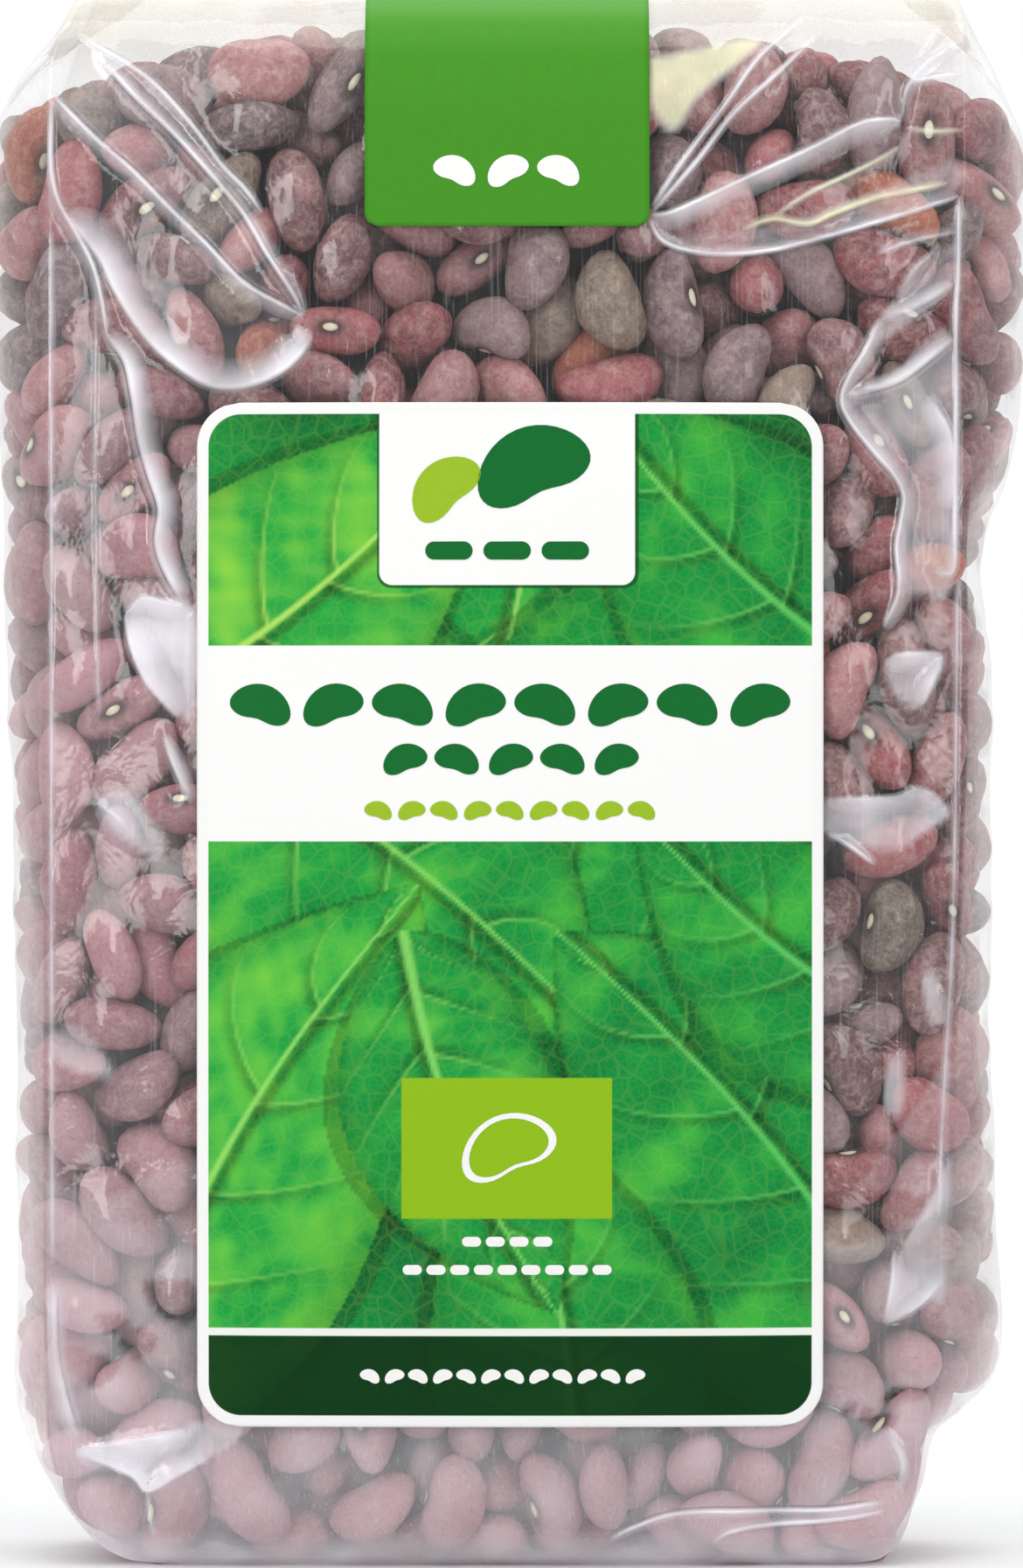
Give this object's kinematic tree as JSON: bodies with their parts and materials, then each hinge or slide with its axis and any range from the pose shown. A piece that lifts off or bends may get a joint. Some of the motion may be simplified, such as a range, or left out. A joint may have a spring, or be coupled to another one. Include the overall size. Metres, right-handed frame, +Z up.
{
  "type": "bag of dried beans",
  "caption": "Clear gusseted film bag filled with dried kidney beans, standing on its folded bottom, with a front label and a closure strip over the top.",
  "frame": {"origin": "on the resting face, under the middle of the bag", "axes": "+Z up, +X to the right across the front, -Y out of the front with the label"},
  "size_m": [0.141, 0.0605, 0.2116],
  "materials": {
    "beans_in_film": "dusky red dried beans seen through clear glossy film",
    "film": "clear glossy polypropylene film, slightly hazy where it is slack",
    "beans": "smooth dry seed coat with a dusty satin sheen",
    "bean_eye": "matt cream scar on each bean",
    "label_paper": "varnished paper, printed in greens with a white border",
    "strip_paper": "varnished paper, printed mid green"
  },
  "bodies": {
    "root": {"bag": "beans_in_film", "front_label": "label_paper", "closure_strip": "strip_paper"}
  },
  "joints": []
}
